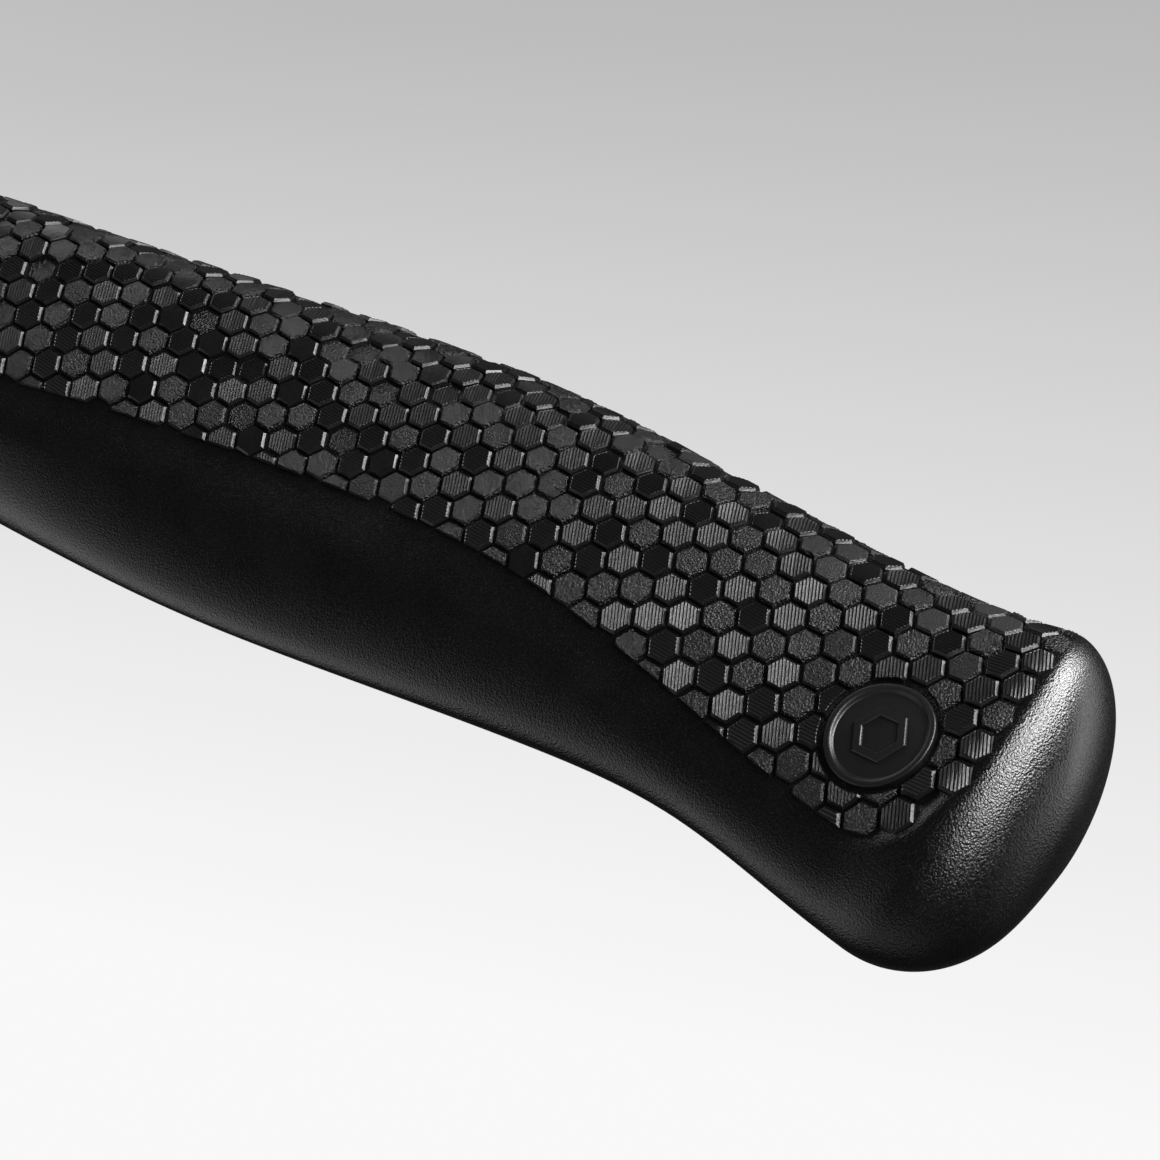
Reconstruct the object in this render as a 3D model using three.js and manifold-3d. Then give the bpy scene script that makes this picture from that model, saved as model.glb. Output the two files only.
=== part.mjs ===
// Chef's knife with a moulded grip, lying on its right side.
// X runs along the blade's axis with the tip at -X and the butt at +X, Y from the cutting edge to the
// spine, and Z up through the left side of the knife. The origin is on the surface it lies on, below
// the middle of its length and height. Millimetres.
import * as THREE from "three";
import { mergeVertices } from "three/addons/utils/BufferGeometryUtils.js";
import Module from "manifold-3d";

const wasm = await Module();
wasm.setup();

// The grip has a frame of its own: u towards the butt, v towards the spine, w out of the left side.
const GRIP_TILT = THREE.MathUtils.degToRad(6);
const GRIP_ORIGIN = { x: 152.07, y: 7.19, z: 9.885 };

// Sections of the grip: where they are, the level of the spine line and of the belly line, and half
// the thickness.
const GRIP_SECTIONS = [
  { u: -110, top: 2.1, belly: -19.8, half: 8.6 },
  { u: -96, top: 4.3, belly: -18.9, half: 9.6 },
  { u: -80, top: 6.9, belly: -18.4, half: 9.8 },
  { u: -64, top: 10.3, belly: -17.6, half: 8.6 },
  { u: -48, top: 13.5, belly: -16.1, half: 7.2 },
  { u: -33, top: 15.0, belly: -13.4, half: 7.4 },
  { u: -19, top: 15.0, belly: -10.7, half: 7.3 },
  { u: -7, top: 14.9, belly: -9.5, half: 6.7 },
  { u: 5, top: 15.3, belly: -10.8, half: 7.3 },
  { u: 17, top: 17.1, belly: -11.7, half: 10.8 },
];
const WIDEST_LEVEL = 0.72; // the thickest line's height, as a share of the section's height
const SPINE_FULLNESS = 2.0; // superellipse exponent above that line
const BELLY_FULLNESS = 1.75; // and below it

// The domed butt: where each profile starts to close, and how squarely it does.
const BUTT_U = 16.9;
const BUTT_LEVEL = -2.4;
const SPINE_ROUND = { start: 8.7, fullness: 2.1 };
const BELLY_ROUND = { start: 8.5, fullness: 2.0 };
const SIDE_ROUND = { start: 10.1, fullness: 1.55 };

const GRIP_FRONT = -110;
const SECTION_STEPS = 30;
const BUTT_STEPS = 13;
const RING_STEPS = 32;

// Textured panels let into both sides.
const PANEL_THICKNESS = 1.2;
const PANEL_SPINE_EDGE = 2.2; // distance of a panel's upper edge from the middle plane
const FIT_GAP = 0.3;
const PANEL_OUTLINE = [
  [-104, 24],
  [-104.5, 8],
  [-104, -4],
  [-102.5, -11],
  [-98, -14.6],
  [-90, -14.2],
  [-80, -12.4],
  [-71, -10.2],
  [-60, -7.4],
  [-48, -4.8],
  [-36, -3.0],
  [-24, -2.5],
  [-12, -3.6],
  [-4, -4.8],
  [2, -5.7],
  [6, -6.0],
  [9, -4.8],
  [10.8, -1.5],
  [11.2, 2],
  [11.1, 7],
  [10.6, 11],
  [9.4, 15],
  [9, 24],
];

// Round badge in each panel, near the butt.
const BADGE = { u: 4.1, v: 0.2, radius: 3.65, proud: 0.1 };

// Bolster, between the grip and the blade.
const BOLSTER_LENGTH = 17;
const BOLSTER_NOSE_HALF = 0.6;
const BOLSTER_STEPS = 12;
const BOLSTER_BELLY_DROP = 3;

// Blade, in millimetres from the grip's origin along and across the blade's axis.
const BLADE_REAR_X = -112.5;
const HEEL_X = -121.5;
const TIP_X = -321;
const SPINE_LINE = [
  [0, 13.3],
  [0.35, 13.1],
  [0.6, 11.6],
  [0.8, 7.2],
  [1, -3.6],
];
const EDGE_LINE = [
  [0, -32.6],
  [0.2, -33.0],
  [0.4, -32.2],
  [0.6, -29.2],
  [0.78, -23.2],
  [0.9, -15.6],
  [1, -4.4],
];
const BLADE_HALF = 1.45; // half the thickness at the rear of the spine
const BLADE_TAPER_X = 0.0022; // half thickness lost per millimetre towards the tip
const BLADE_TAPER_Y = 0.0215; // and per millimetre towards the edge
const BEVEL_WIDTH = 1.6;
const EDGE_HALF = 0.03;
const SPINE_CHAMFER = 0.35;
const HEEL_HOLLOW = 1.6;
const BLADE_STEPS = 44;

// Tang, hidden inside the grip.
const TANG_HALF = 1.3;
const TANG_FRONT = -113;
const TANG_END = -20;
const TANG_HEIGHT = { front: 13, end: 8 };

const MATERIALS = {
  blade: new THREE.MeshStandardMaterial({ color: 0x17181a, roughness: 0.38, metalness: 0.9 }),
  body: new THREE.MeshStandardMaterial({ color: 0x0c0d0e, roughness: 0.5, metalness: 0 }),
  panel: new THREE.MeshStandardMaterial({ color: 0x101113, roughness: 0.45, metalness: 0 }),
  badge: new THREE.MeshStandardMaterial({ color: 0x0e0f10, roughness: 0.4, metalness: 0 }),
};

// Natural cubic spline through the points (xs, ys).
function spline(xs, ys) {
  const count = xs.length;
  const bend = new Array(count).fill(0);
  const rest = new Array(count).fill(0);
  for (let i = 1; i < count - 1; i++) {
    const before = xs[i] - xs[i - 1];
    const after = xs[i + 1] - xs[i];
    const share = before / (before + after);
    const scale = share * bend[i - 1] + 2;
    const turn = (ys[i + 1] - ys[i]) / after - (ys[i] - ys[i - 1]) / before;
    bend[i] = (share - 1) / scale;
    rest[i] = ((6 * turn) / (before + after) - share * rest[i - 1]) / scale;
  }
  for (let i = count - 2; i >= 0; i--) {
    bend[i] = bend[i] * bend[i + 1] + rest[i];
  }
  return (x) => {
    let i = 0;
    while (i < count - 2 && x > xs[i + 1]) {
      i++;
    }
    const step = xs[i + 1] - xs[i];
    const a = (xs[i + 1] - x) / step;
    const b = (x - xs[i]) / step;
    const curve = (a * a * a - a) * bend[i] + (b * b * b - b) * bend[i + 1];
    return a * ys[i] + b * ys[i + 1] + (curve * step * step) / 6;
  };
}

const stationsU = GRIP_SECTIONS.map((section) => section.u);
const topLine = spline(stationsU, GRIP_SECTIONS.map((section) => section.top));
const bellyLine = spline(stationsU, GRIP_SECTIONS.map((section) => section.belly));
const halfLine = spline(stationsU, GRIP_SECTIONS.map((section) => section.half));

// Share of a profile that is left at u, once it has started to close towards the butt.
function closing(u, { start, fullness }) {
  const along = THREE.MathUtils.clamp((u - start) / (BUTT_U - start), 0, 1);
  return Math.pow(Math.max(1 - Math.pow(along, fullness), 0), 1 / fullness);
}

// The grip's section at u.
function gripSection(u) {
  return {
    top: BUTT_LEVEL + (topLine(u) - BUTT_LEVEL) * closing(u, SPINE_ROUND),
    belly: BUTT_LEVEL + (bellyLine(u) - BUTT_LEVEL) * closing(u, BELLY_ROUND),
    half: halfLine(u) * closing(u, SIDE_ROUND),
  };
}

// Points round one section, made of an upper and a lower half superellipse, shrunk by inset.
function sectionPoints(u, { top, belly, half }, inset = 0) {
  const widest = belly + (top - belly) * WIDEST_LEVEL;
  const points = [];
  for (let i = 0; i < RING_STEPS; i++) {
    const angle = (2 * Math.PI * i) / RING_STEPS;
    const across = Math.cos(angle);
    const up = Math.sin(angle);
    const power = 2 / (up >= 0 ? SPINE_FULLNESS : BELLY_FULLNESS);
    const reach = up >= 0 ? top - inset - widest : belly + inset - widest;
    const v = widest + reach * Math.pow(Math.abs(up), power);
    const w = Math.sign(across) * (half - inset) * Math.pow(Math.abs(across), power);
    points.push(new THREE.Vector3(u, v, w));
  }
  return points;
}

// Closed solid through a row of sections with the same number of points, flat at both ends.
function loft(rings) {
  const size = rings[0].length;
  const positions = [];
  const index = [];
  rings.forEach((ring) => ring.forEach((point) => positions.push(...point.toArray())));
  for (let r = 0; r < rings.length - 1; r++) {
    for (let i = 0; i < size; i++) {
      const a = r * size + i;
      const b = r * size + ((i + 1) % size);
      index.push(a, b, a + size, b, b + size, a + size);
    }
  }
  [rings[0], rings[rings.length - 1]].forEach((ring, end) => {
    const middle = new THREE.Vector3();
    ring.forEach((point) => middle.addScaledVector(point, 1 / size));
    const centre = positions.length / 3;
    const first = end * (rings.length - 1) * size;
    positions.push(...middle.toArray());
    for (let i = 0; i < size; i++) {
      const a = first + i;
      const b = first + ((i + 1) % size);
      index.push(...(end ? [a, b, centre] : [b, a, centre]));
    }
  });
  const geometry = new THREE.BufferGeometry();
  geometry.setAttribute("position", new THREE.Float32BufferAttribute(positions, 3));
  geometry.setIndex(index);
  return geometry;
}

// Turns a closed geometry into a solid that can be joined and cut.
function solid(geometry) {
  const bare = geometry.clone();
  bare.deleteAttribute("normal");
  bare.deleteAttribute("uv");
  const merged = mergeVertices(bare, 1e-4);
  const vertProperties = new Float32Array(merged.attributes.position.array);
  const triVerts = new Uint32Array(merged.index.array);
  const made = new wasm.Manifold(new wasm.Mesh({ numProp: 3, vertProperties, triVerts }));
  if (made.volume() > 0) {
    return made;
  }
  for (let i = 0; i < triVerts.length; i += 3) {
    [triVerts[i + 1], triVerts[i + 2]] = [triVerts[i + 2], triVerts[i + 1]];
  }
  return new wasm.Manifold(new wasm.Mesh({ numProp: 3, vertProperties, triVerts }));
}

// Prism on an outline in the grip's side view, between two heights.
function prism(outline, low, high) {
  const shape = new THREE.Shape(outline.map(([u, v]) => new THREE.Vector2(u, v)));
  const geometry = new THREE.ExtrudeGeometry(shape, { depth: high - low, bevelEnabled: false });
  geometry.translate(0, 0, low);
  return solid(geometry);
}

// Upright cylinder at the badge's place, between two heights.
function badgeCylinder(radius, low, high) {
  const geometry = new THREE.CylinderGeometry(radius, radius, high - low, 40);
  geometry.rotateX(Math.PI / 2);
  geometry.translate(BADGE.u, BADGE.v, (low + high) / 2);
  return solid(geometry);
}

// The whole outer form of the grip, shrunk by inset on every side but its front.
function gripForm(inset = 0) {
  const us = [];
  const dome = SIDE_ROUND.start - 4;
  for (let i = 0; i < SECTION_STEPS; i++) {
    us.push(THREE.MathUtils.lerp(GRIP_FRONT, dome, i / SECTION_STEPS));
  }
  for (let i = 0; i < BUTT_STEPS; i++) {
    us.push(THREE.MathUtils.lerp(dome, BUTT_U, Math.sin((Math.PI / 2) * (i / BUTT_STEPS))));
  }
  us.push(BUTT_U - 0.02);
  const rings = us.map((u) => {
    const section = gripSection(u);
    const shrink = Math.min(inset, section.half * 0.7);
    const back = u > 0 ? (inset * u) / BUTT_U : 0;
    return sectionPoints(u - back, section, shrink);
  });
  return solid(loft(rings));
}

// Outline of a panel, smoothed through its corner points, and grown by the given margin.
function panelOutline(margin) {
  const curve = new THREE.SplineCurve(PANEL_OUTLINE.map(([u, v]) => new THREE.Vector2(u, v)));
  const points = curve.getPoints(66);
  return points.map((point, i) => {
    const before = points[Math.max(i - 1, 0)];
    const after = points[Math.min(i + 1, points.length - 1)];
    const along = new THREE.Vector2().subVectors(after, before).normalize();
    return [point.x + along.y * margin, point.y - along.x * margin];
  });
}

// The space above one edge height and inside a panel's outline.
function panelSpace(margin) {
  return prism(panelOutline(margin), PANEL_SPINE_EDGE - margin, 20);
}

// Half the blade's thickness at a place on its side.
function bladeHalf(x, y) {
  return BLADE_HALF + BLADE_TAPER_X * (x - BLADE_REAR_X) + BLADE_TAPER_Y * (y - SPINE_LINE[0][1]);
}

// From the blade's axes to the grip's, which are turned by the grip's tilt.
function toGrip(x, y, z) {
  const cos = Math.cos(GRIP_TILT);
  const sin = Math.sin(GRIP_TILT);
  return new THREE.Vector3(x * cos - y * sin, x * sin + y * cos, z);
}

// The blade, as sections from spine to edge, each a closed loop round both sides.
function bladePlate() {
  const spineY = spline(SPINE_LINE.map((p) => p[0]), SPINE_LINE.map((p) => p[1]));
  const edgeY = spline(EDGE_LINE.map((p) => p[0]), EDGE_LINE.map((p) => p[1]));
  const rings = [];
  for (let i = 0; i <= BLADE_STEPS; i++) {
    const along = Math.pow(i / BLADE_STEPS, 0.9);
    const spine = new THREE.Vector2(THREE.MathUtils.lerp(BLADE_REAR_X, TIP_X, along), spineY(along));
    const edge = new THREE.Vector2(THREE.MathUtils.lerp(HEEL_X, TIP_X, along), edgeY(along));
    const length = spine.distanceTo(edge);
    const chamfer = Math.min(SPINE_CHAMFER / length, 0.1);
    const bevel = 1 - Math.min(BEVEL_WIDTH / length, 0.45);
    const shares = [0, chamfer, 0.45 * bevel, 0.62 * bevel, 0.8 * bevel, bevel, 1];
    const side = shares.map((share, k) => {
      const hollow = share > 0.35 ? Math.sin((Math.PI * (share - 0.35)) / 0.65) : 0;
      const x = THREE.MathUtils.lerp(spine.x, edge.x, share) - HEEL_HOLLOW * hollow * Math.exp(-along * 30);
      const y = THREE.MathUtils.lerp(spine.y, edge.y, share);
      const full = bladeHalf(x, y);
      const half = k === 0 ? Math.max(full - SPINE_CHAMFER, 0.1) : k === shares.length - 1 ? EDGE_HALF : full;
      return [x, y, half];
    });
    const left = side.map(([x, y, half]) => toGrip(x, y, half));
    const right = side.map(([x, y, half]) => toGrip(x, y, -half)).reverse();
    rings.push([...left, ...right]);
  }
  return solid(loft(rings));
}

// The bolster, from the grip's front face to where it sinks into the blade's sides.
function bolster() {
  const start = GRIP_FRONT - FIT_GAP;
  const base = gripSection(start);
  const spineLevel = SPINE_LINE[0][1];
  const rings = [];
  for (let i = 0; i <= BOLSTER_STEPS; i++) {
    const along = i / BOLSTER_STEPS;
    const u = start - BOLSTER_LENGTH * along;
    const ease = along * along * (3 - 2 * along);
    const flush = (spineLevel - 0.2 + u * Math.sin(GRIP_TILT)) / Math.cos(GRIP_TILT);
    const section = {
      top: THREE.MathUtils.lerp(base.top, flush, Math.min(1, 2 * along)),
      belly: base.belly - BOLSTER_BELLY_DROP * ease,
      half: THREE.MathUtils.lerp(base.half, BOLSTER_NOSE_HALF, Math.pow(ease, 0.8)),
    };
    rings.push(sectionPoints(u, section));
  }
  return solid(loft(rings));
}

// The tang's outline in side view, grown by the given margin.
function tang(margin) {
  const upper = [];
  const lower = [];
  const steps = 10;
  for (let i = 0; i <= steps; i++) {
    const share = i / steps;
    const u = THREE.MathUtils.lerp(TANG_FRONT - margin, TANG_END + margin, share);
    const middle = (topLine(u) + bellyLine(u)) / 2;
    const half = THREE.MathUtils.lerp(TANG_HEIGHT.front, TANG_HEIGHT.end, share) / 2 + margin;
    upper.push([u, middle + half]);
    lower.push([u, middle - half]);
  }
  return prism([...lower, ...upper.reverse()], -TANG_HALF - margin, TANG_HALF + margin);
}

const form = gripForm();
const panelCore = gripForm(PANEL_THICKNESS);
const pocketCore = gripForm(PANEL_THICKNESS + FIT_GAP);
const proudForm = gripForm(-BADGE.proud);

const pocket = panelSpace(FIT_GAP).subtract(pocketCore);
const badgeHole = badgeCylinder(BADGE.radius + FIT_GAP, 0, 20);
const leftPanel = form.intersect(panelSpace(0)).subtract(panelCore).subtract(badgeHole);
const leftBadge = proudForm.intersect(badgeCylinder(BADGE.radius, 0, 20)).subtract(panelCore);

const mirror = (made) => made.mirror([0, 0, 1]);
const handleBody = form.subtract(pocket).subtract(mirror(pocket)).subtract(tang(FIT_GAP));
const blade = bladePlate().add(bolster()).add(tang(0));

// A mesh in the grip's frame for a finished solid.
function piece(name, made, material) {
  const mesh = made.getMesh();
  const geometry = new THREE.BufferGeometry();
  geometry.setAttribute("position", new THREE.BufferAttribute(new Float32Array(mesh.vertProperties), 3));
  geometry.setIndex(new THREE.BufferAttribute(new Uint32Array(mesh.triVerts), 1));
  geometry.computeVertexNormals();
  const object = new THREE.Mesh(geometry, material);
  object.name = name;
  return object;
}

const grip = new THREE.Group();
grip.position.set(GRIP_ORIGIN.x, GRIP_ORIGIN.y, GRIP_ORIGIN.z);
grip.rotation.z = -GRIP_TILT;
grip.add(
  piece("blade", blade, MATERIALS.blade),
  piece("handle_body", handleBody, MATERIALS.body),
  piece("grip_panel_left", leftPanel, MATERIALS.panel),
  piece("grip_panel_right", mirror(leftPanel), MATERIALS.panel),
  piece("badge_left", leftBadge, MATERIALS.badge),
  piece("badge_right", mirror(leftBadge), MATERIALS.badge),
);

const knife = new THREE.Group();
knife.add(grip);

export default knife;
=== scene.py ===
import math
import random

import bpy
import numpy as np
from mathutils import Matrix, Vector


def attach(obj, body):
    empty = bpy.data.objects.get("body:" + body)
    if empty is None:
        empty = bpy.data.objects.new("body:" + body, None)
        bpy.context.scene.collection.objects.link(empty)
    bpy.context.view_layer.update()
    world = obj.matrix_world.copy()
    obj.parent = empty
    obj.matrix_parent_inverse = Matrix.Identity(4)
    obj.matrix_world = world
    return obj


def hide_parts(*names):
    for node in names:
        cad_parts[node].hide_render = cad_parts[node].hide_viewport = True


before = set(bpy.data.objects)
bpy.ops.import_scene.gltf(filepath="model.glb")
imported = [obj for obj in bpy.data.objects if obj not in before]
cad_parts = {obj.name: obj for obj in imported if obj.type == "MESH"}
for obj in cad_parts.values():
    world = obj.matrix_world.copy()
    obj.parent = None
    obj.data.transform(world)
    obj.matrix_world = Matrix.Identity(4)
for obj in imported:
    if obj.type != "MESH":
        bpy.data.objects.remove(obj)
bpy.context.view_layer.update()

# A chef's knife that lies on its right side: the grip's body, the honeycomb pads and the badge on both
# of its sides, the blade and the bolster. All of them follow the same curves as the part itself.

# ---------------------------------------------------------------- dimensions, in millimetres
# The grip's own frame: u towards the butt, v towards the spine, w out of the left side.
MM = 0.001
GRIP_TILT = math.radians(6)
GRIP_ORIGIN = (152.07, 7.19, 9.885)

# Sections of the grip: where they are, the spine line, the belly line and half the thickness.
SECTION_U = (-110, -96, -80, -64, -48, -33, -19, -7, 5, 17)
TOP_V = (2.1, 4.3, 6.9, 10.3, 13.5, 15.0, 15.0, 14.9, 15.3, 17.1)
BELLY_V = (-19.8, -18.9, -18.4, -17.6, -16.1, -13.4, -10.7, -9.5, -10.8, -11.7)
HALF_W = (8.6, 9.6, 9.8, 8.6, 7.2, 7.4, 7.3, 6.7, 7.3, 10.8)
WIDEST_LEVEL = 0.72  # the thickest line's height, as a share of the section's height
SPINE_FULLNESS = 2.0  # superellipse exponent above that line
BELLY_FULLNESS = 1.75  # and below it
GRIP_FRONT = -110

# The domed butt: where each profile starts to close, and how squarely it does.
BUTT_U = 16.9
BUTT_LEVEL = -2.4
SPINE_ROUND = (8.7, 2.1)
BELLY_ROUND = (8.5, 2.0)
SIDE_ROUND = (10.1, 1.55)

# The body's mesh.
DOME_START = 4  # where its rings begin to crowd towards the butt
BODY_ROWS = 300  # rings up to the dome
DOME_ROWS = 70  # and over it
BODY_AROUND = 176  # points round each

PANEL_OUTLINE = (
    (-104, 24), (-104.5, 8), (-104, -4), (-102.5, -11), (-98, -14.6), (-90, -14.2),
    (-80, -12.4), (-71, -10.2), (-60, -7.4), (-48, -4.8), (-36, -3.0), (-24, -2.5),
    (-12, -3.6), (-4, -4.8), (2, -5.7), (6, -6.0), (9, -4.8), (10.8, -1.5), (11.2, 2),
    (11.1, 7), (10.6, 11), (9.4, 15), (9, 24),
)
OUTLINE_STEPS = 6  # between two of its points
PANEL_SPINE_EDGE = 2.2  # distance of the panel's upper edge from the middle plane
FLOOR_DEPTH = 0.42  # the panel's floor lies this far below the pads' tops

# How the body rises from the panel's floor to the grip's own form.
BELLY_SLOPE = 1.5  # width of the slope outside the belly edge, at the panel's front
BELLY_SLOPE_GAIN = 3.0  # what it gains over the next stretch
BELLY_SLOPE_U = (-100, -90)
BUTT_SLOPE = (-1.1, 0.7)  # from inside to outside of the outline
BUTT_SLOPE_U = (5.0, 9.0)  # where the butt's slope takes over from the belly's
STRIP_SLOPE = 1.2  # width of the slope up to the spine strip
SHALLOW_SHARE = 0.5  # how far the floor itself rises near the strip, as a share of its depth
SHALLOW_W = (6.0, 2.6)  # distances from the middle plane between which it does

# Honeycomb.
PITCH = 2.4
LATTICE_U = -0.03
LATTICE_V = 3.24
LATTICE_STEPS = range(-60, 22)  # in both of its directions
LATTICE_SEEDS = (7919, 104729, 200)  # a factor for each direction, and a shift that keeps steps positive
PAD_BASE = 0.450  # inradius of a pad's foot, as a share of the pitch
PAD_TOP = 0.392  # and of its top
PAD_FOOT = 0.15  # the flanks reach this far below the panel's floor
BEVEL_DROP = 0.18
CUT_INSET = 0.07  # of a pad's top from its foot, where an edge cuts both
SMALLEST_TOP = 0.12  # in square millimetres
TOP_SHARES = (1.0, 0.66, 0.33)  # rings of a flat top
RIB_PITCH = 0.235
RIB_HEIGHT = 0.075
RIB_REACH = 8  # ribs on each side of a pad's middle, before its edges cut them
RIB_END = 0.05  # slope at both ends of a rib
# One rib, from crest to crest: a long slope facing along, a short one facing back.
RIB_WAVE = ((0, 0.5), (0.08, 0.5), (0.70, -0.5), (0.80, -0.5))

# Where pads may lie.
PAD_AREA_U = (-106, 13.5)
PAD_AREA_V = (-18, 17)
LAST_PAD_U = 11.5
BARE_CORNERS = ((9.5, -2), (7.5, -5))  # no pad lies behind this u and below this v
OVERHANG = 1.0  # of a pad's centre past the outline
BUTT_OVERHANG = 0.9  # added at the butt
BUTT_OVERHANG_U = (7.0, 9.0)
STRIP_GAP = 0.15  # between the spine strip and the pads
THINNEST = 0.4  # no pads where the grip's half thickness is less than this past the strip
SPINE_OVERHANG = 0.9  # of a pad's centre past the strip's edge

# How pads differ in height and tilt.
PAD_LIFT = (-0.05, 0.04)
PAD_TILT = 0.03
CALM_SHARE = 0.6  # how much less they differ near the middle plane
CALM_W = (6.5, 3.5)  # distances from it between which that comes in
SINK_CHANCE = 0.10  # that a pad lies deeper
SINK_CHANCE_GAIN = 0.16  # near the spine, away from the butt
SINK_GAIN_V = (6, 11)
SINK_GAIN_U = (4, -10)
SINK_DEPTH = (0.16, 0.30)
SINK_INSIDE = -1.5  # only this far inside the outline
SINK_BEFORE_U = -12

# Surface of each pad near the butt, from the front to the butt, one line for each row up the grip:
# V ribs across the row, H ribs along the grip, C coarse grain, G fine grain, M matte, S smooth,
# a dot for any.
PAD_PATTERN = {
    8: "......HH.CMH",
    7: ".CV...VMVVMC",
    6: "..HC..HCHCVV",
    5: ".VVV.VVMMMCV",
    4: ".VCHHHCVCHHH",
    3: "CVVCVVGVVCGV",
    2: "CGCHVVGCCHVV",
    1: "VVCVCCVVGVCC",
    0: "HHCCHHHHCC.H",
    -1: "CCCVVVCGG..V",
    -2: ".VVHHCVVVH.C",
    -3: "CCGCCVGCC..V",
    -4: ".HHSCVHHHH.H",
    -5: ".CCV.CVVVV.C",
    -6: "......CCHGVV",
    -7: "........CGCC",
    -8: ".........CHC",
}
PATTERN_START = -18  # the place along its row of a line's first pad
# Any other pad draws its letter from one of these, by its place along its row.
FRONT_MIX = "VVVVVHHHHHHCCCCCCGSS"
BUTT_MIX = "VVVVVVVHHHHCCCCCGGMS"
BUTT_MIX_START = -19
# For each letter, the number of its material and, on ribs, the direction across them.
PAD_KINDS = {
    "V": (0, math.radians(30)),
    "H": (0, math.radians(-90)),
    "M": (1, None),
    "S": (2, None),
    "C": (3, None),
    "G": (4, None),
}

# Badge: a rounded rim round a sunk disc, with a raised hexagon on it. Profiles are (radius, level).
BADGE_U = 4.1
BADGE_V = 0.2
MOAT_RADIUS = 4.12  # of the space that the pads leave round it
MOAT_REACH = 1.6  # pads with centres nearer than this to the moat are cut by it
MOAT_INSET = 0.6  # share of CUT_INSET that a pad's top keeps from the moat
ARC_STEP = 0.06  # longest step round the moat's edge, in radians
DISC_LEVEL = -0.19
MARK_LEVEL = 0.0
BADGE_PROFILE = (
    (3.70, -0.60), (3.68, -0.10), (3.66, 0.00), (3.63, 0.05), (3.57, 0.075), (3.42, 0.08), (3.31, 0.07),
    (3.24, 0.04), (3.19, -0.02), (3.14, -0.10), (3.10, -0.16), (3.04, DISC_LEVEL),
)
DISC_RADII = (3.04, 2.3, 1.5, 0.7)
MARK_EDGE = 0.05  # its sides start this far below the disc, and its bevels are as high
MARK_PROFILE = (
    (2.06, DISC_LEVEL - MARK_EDGE), (2.00, MARK_LEVEL - MARK_EDGE), (1.93, MARK_LEVEL),
    (1.43, MARK_LEVEL), (1.36, MARK_LEVEL - MARK_EDGE), (1.30, DISC_LEVEL - MARK_EDGE),
)
BADGE_AROUND = 96
MARK_SIDES = 6
MARK_STEPS = 4  # along each side of the hexagon

# Blade, from the grip's origin along and across the blade's axis.
BLADE_REAR_X = -112.5
HEEL_X = -121.5
TIP_X = -321
SPINE_LINE = ((0, 13.3), (0.35, 13.1), (0.6, 11.6), (0.8, 7.2), (1, -3.6))
EDGE_LINE = (
    (0, -32.6), (0.2, -33.0), (0.4, -32.2), (0.6, -29.2), (0.78, -23.2), (0.9, -15.6), (1, -4.4),
)
BLADE_HALF = 1.45  # half the thickness at the rear of the spine
BLADE_TAPER_X = 0.0022  # half thickness lost per millimetre towards the tip
BLADE_TAPER_Y = 0.0215  # and per millimetre towards the edge
BEVEL_WIDTH = 1.6
WIDEST_BEVEL = 0.45  # as a share of the blade's height, near the tip
EDGE_HALF = 0.03
SPINE_CHAMFER = 0.35
WIDEST_CHAMFER = 0.1  # as a share of the blade's height
THINNEST_SPINE = 0.1
HEEL_HOLLOW = 1.6
HOLLOW_START = 0.35  # as a share of the way from spine to edge
HOLLOW_FADE = 30  # how fast the hollow is lost towards the tip
BLADE_ROWS = 241
BLADE_COLUMNS = 16
TIP_CROWDING = 0.9  # exponent that brings rows closer together at the tip
BLADE_CREASE = math.radians(8)

BOLSTER_START = -110.3
BOLSTER_LENGTH = 17
BOLSTER_NOSE_HALF = 0.6
BOLSTER_NOSE_POWER = 0.8
BOLSTER_BELLY_DROP = 3
BOLSTER_SINK = 0.2  # of its upper line below the blade's spine
BOLSTER_TOP_END = 0.55  # share of its length in which its upper line gets there
BOLSTER_AROUND = 120
BOLSTER_ROUND = ((0, 0.22), (0.004, 0.08), (0.012, 0.02))  # rear edge: share of the length, inset
PLAIN_START = 0.02  # where the rings without an inset start
PLAIN_ROWS = 60
BOLSTER_CREASE = math.radians(35)


# ---------------------------------------------------------------- the grip's surface
class Spline:
    """Natural cubic spline."""

    def __init__(self, xs, ys):
        self.x = np.asarray(xs, float)
        self.y = np.asarray(ys, float)
        n = len(xs)
        step = np.diff(self.x)
        matrix = np.eye(n)
        right = np.zeros(n)
        for i in range(1, n - 1):
            matrix[i, i - 1] = step[i - 1]
            matrix[i, i] = 2 * (step[i - 1] + step[i])
            matrix[i, i + 1] = step[i]
            right[i] = 6 * ((self.y[i + 1] - self.y[i]) / step[i] - (self.y[i] - self.y[i - 1]) / step[i - 1])
        self.bend = np.linalg.solve(matrix, right)

    def __call__(self, x):
        x = np.asarray(x, float)
        i = np.clip(np.searchsorted(self.x, x) - 1, 0, len(self.x) - 2)
        step = self.x[i + 1] - self.x[i]
        a = (self.x[i + 1] - x) / step
        b = (x - self.x[i]) / step
        curve = (a**3 - a) * self.bend[i] + (b**3 - b) * self.bend[i + 1]
        return a * self.y[i] + b * self.y[i + 1] + curve * step**2 / 6


top_line = Spline(SECTION_U, TOP_V)
belly_line = Spline(SECTION_U, BELLY_V)
half_line = Spline(SECTION_U, HALF_W)


def closing(u, start, fullness):
    """Share of a profile that is left at u, once it has started to close towards the butt."""
    along = np.clip((u - start) / (BUTT_U - start), 0, 1)
    return np.maximum(1 - along**fullness, 0) ** (1 / fullness)


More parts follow.
